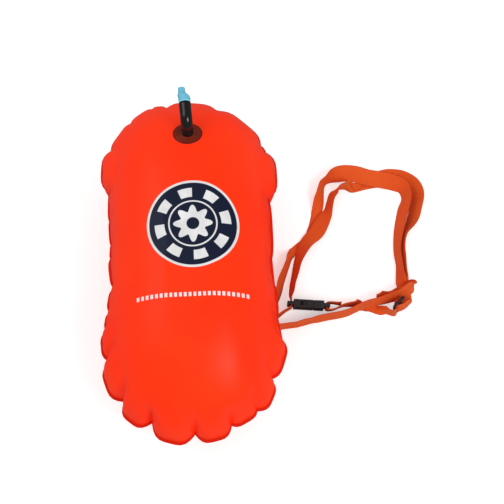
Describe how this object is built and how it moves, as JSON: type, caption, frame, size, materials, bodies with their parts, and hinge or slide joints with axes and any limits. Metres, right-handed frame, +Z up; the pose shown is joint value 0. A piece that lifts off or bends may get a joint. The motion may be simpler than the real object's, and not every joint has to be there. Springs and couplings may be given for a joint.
{
  "type": "open water swim buoy",
  "caption": "Inflated tow float of welded film with a bent oral inflation valve, a webbing leash and a waist belt with side release buckle and strap adjuster.",
  "frame": {"origin": "on the floor under the middle of the float, which lies on its back", "axes": "+Z up, +Y along the float towards the valve, +X across it towards the belt and buckle"},
  "size_m": [0.4753, 0.4975, 0.2207],
  "materials": {
    "float_film": "glossy fluorescent film",
    "webbing": "woven",
    "buckle_plastic": "satin moulded",
    "valve_rubber": "smooth",
    "seal_rubber": "matt",
    "valve_sleeve": "satin moulded",
    "valve_clear": "satin moulded",
    "mouthpiece_blue": "satin moulded"
  },
  "bodies": {
    "float": {"front_panel": "float_film", "back_panel": "float_film", "valve_flange": "valve_rubber", "valve_tube": "valve_rubber", "valve_body": "valve_sleeve", "valve_plug": "valve_clear", "plug_o_ring": "seal_rubber", "anchor_patch": "float_film", "anchor_cover": "float_film", "leash": "webbing", "leash_loop": "webbing", "belt_rear_run": "webbing", "belt_front_run": "webbing", "belt_tail": "webbing", "buckle_female": "buckle_plastic"},
    "plug_half": {"buckle_male": "buckle_plastic", "belt_tail_fold": "webbing"},
    "latch_upper": {"latch_arm_upper": "buckle_plastic"},
    "latch_lower": {"latch_arm_lower": "buckle_plastic"},
    "adjuster": {"tri_glide": "buckle_plastic", "belt_weave": "webbing", "belt_end_loop": "webbing"},
    "mouthpiece_seal": {"mouthpiece_o_ring": "seal_rubber"},
    "mouthpiece_cap": {"mouthpiece": "mouthpiece_blue"}
  },
  "joints": [
    {"name": "mouthpiece_lift", "type": "slide", "parent": "float", "child": "mouthpiece_seal", "axis": [-0.0631, 0.998, 0], "range_m": [0, 0.003]},
    {"name": "mouthpiece_turn", "type": "hinge", "parent": "mouthpiece_seal", "child": "mouthpiece_cap", "pos_m": [0.00232, 0.19649, 0.21243], "axis": [-0.0631, 0.998, 0], "range_deg": [0, 270]},
    {"name": "buckle_pull", "type": "slide", "parent": "float", "child": "plug_half", "axis": [0.9942, -0.108, 0], "range_m": [0, 0.024], "deforming": ["belt_tail_fold", "belt_tail", "latch_arm_upper", "latch_arm_lower"]},
    {"name": "latch_upper_press", "type": "hinge", "parent": "plug_half", "child": "latch_upper", "pos_m": [0.17157, -0.04002, 0.028], "axis": [-0.1064, -0.979, -0.1736], "range_deg": [0, 12.5]},
    {"name": "latch_lower_press", "type": "hinge", "parent": "plug_half", "child": "latch_lower", "pos_m": [0.17195, -0.0365, 0.0079], "axis": [0.1064, 0.979, 0.1736], "range_deg": [0, 12.5]},
    {"name": "adjuster_slide", "type": "slide", "parent": "float", "child": "adjuster", "axis": [-0.7314, -0.682, 0], "range_m": [0, 0.01], "deforming": ["belt_rear_run", "belt_front_run", "belt_tail"]}
  ],
  "couplings": [
    {"joint": "mouthpiece_turn", "follows": "mouthpiece_lift", "rad_per_m": 1570},
    {"joint": "latch_lower_press", "follows": "latch_upper_press", "ratio": 1}
  ]
}
